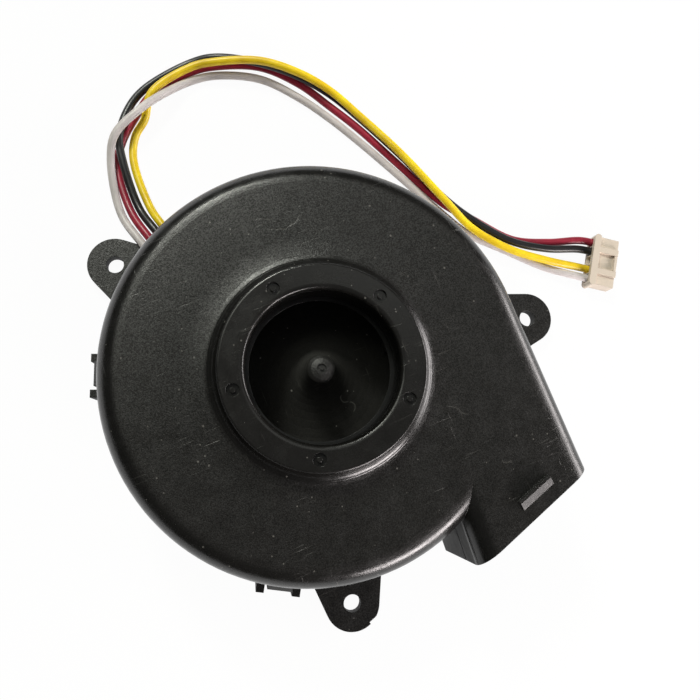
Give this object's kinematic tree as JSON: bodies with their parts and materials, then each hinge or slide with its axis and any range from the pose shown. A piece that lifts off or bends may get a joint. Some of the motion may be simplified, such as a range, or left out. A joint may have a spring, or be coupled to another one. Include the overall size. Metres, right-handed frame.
{
  "type": "vacuum fan motor",
  "caption": "Snail-shaped vacuum blower: closed centrifugal impeller on a brushless outer-rotor motor, round inlet collar, tangential outlet, screw ears, leads with a plug.",
  "frame": {"origin": "on the fan's axis, in the plane of the housing's underside", "axes": "+Z along the fan's axis towards the inlet, the outlet duct runs along -Y on the +X side"},
  "size_m": [0.1111, 0.1188, 0.0275],
  "materials": {
    "housing_plastic": "satin moulded black, fine spark grain",
    "impeller_plastic": "smooth satin black",
    "shroud_plastic": "smooth satin black",
    "brass": "turned",
    "bearing_steel": "ground",
    "spring_steel": "rolled",
    "core_steel": "stamped laminations",
    "cup_steel": "zinc plated, drawn",
    "magnet": "bonded ferrite",
    "nylon": "moulded nylon",
    "copper_wire": "enamelled",
    "board": "solder mask",
    "chip_black": "moulded epoxy",
    "capacitor_tan": "fired",
    "solder": "reflowed",
    "red_pvc": "extruded",
    "black_pvc": "extruded",
    "yellow_pvc": "extruded",
    "white_pvc": "extruded",
    "ivory_nylon": "moulded",
    "tinned": "tin plated"
  },
  "bodies": {
    "housing": {"upper_housing": "housing_plastic", "lower_housing": "housing_plastic", "bearing_tube": "brass", "stator_core": "core_steel", "upper_insulator": "nylon", "lower_insulator": "nylon", "winding_a": "copper_wire", "winding_b": "copper_wire", "winding_c": "copper_wire", "driver_board": "board", "driver_ic": "chip_black", "hall_sensors": "chip_black", "capacitors": "capacitor_tan", "resistors": "chip_black", "solder_joints": "solder", "upper_outer_ring": "bearing_steel", "upper_shields": "spring_steel", "lower_outer_ring": "bearing_steel", "lower_shields": "spring_steel", "lead_red": "red_pvc", "lead_black": "black_pvc", "lead_yellow": "yellow_pvc", "lead_white": "white_pvc", "plug_housing": "ivory_nylon", "plug_contacts": "tinned"},
    "rotor": {"upper_inner_ring": "bearing_steel", "lower_inner_ring": "bearing_steel", "preload_washer": "spring_steel", "shaft": "bearing_steel", "shaft_clip": "spring_steel", "rotor_cup": "cup_steel", "rotor_magnet": "magnet", "impeller": "impeller_plastic", "impeller_shroud": "shroud_plastic"},
    "upper_ball_set": {"upper_balls": "bearing_steel", "upper_cage": "brass"},
    "lower_ball_set": {"lower_balls": "bearing_steel", "lower_cage": "brass"}
  },
  "joints": [
    {"name": "rotor_spin", "type": "hinge", "parent": "housing", "child": "rotor", "pos_m": [0, 0, 0.0075], "axis": [0, 0, -1], "continuous": true},
    {"name": "upper_ball_orbit", "type": "hinge", "parent": "housing", "child": "upper_ball_set", "pos_m": [0, 0, 0.0104], "axis": [0, 0, -1], "continuous": true},
    {"name": "lower_ball_orbit", "type": "hinge", "parent": "housing", "child": "lower_ball_set", "pos_m": [0, 0, 0.0046], "axis": [0, 0, -1], "continuous": true}
  ],
  "couplings": [
    {"joint": "upper_ball_orbit", "follows": "rotor_spin", "ratio": 0.39091},
    {"joint": "lower_ball_orbit", "follows": "rotor_spin", "ratio": 0.39091}
  ]
}
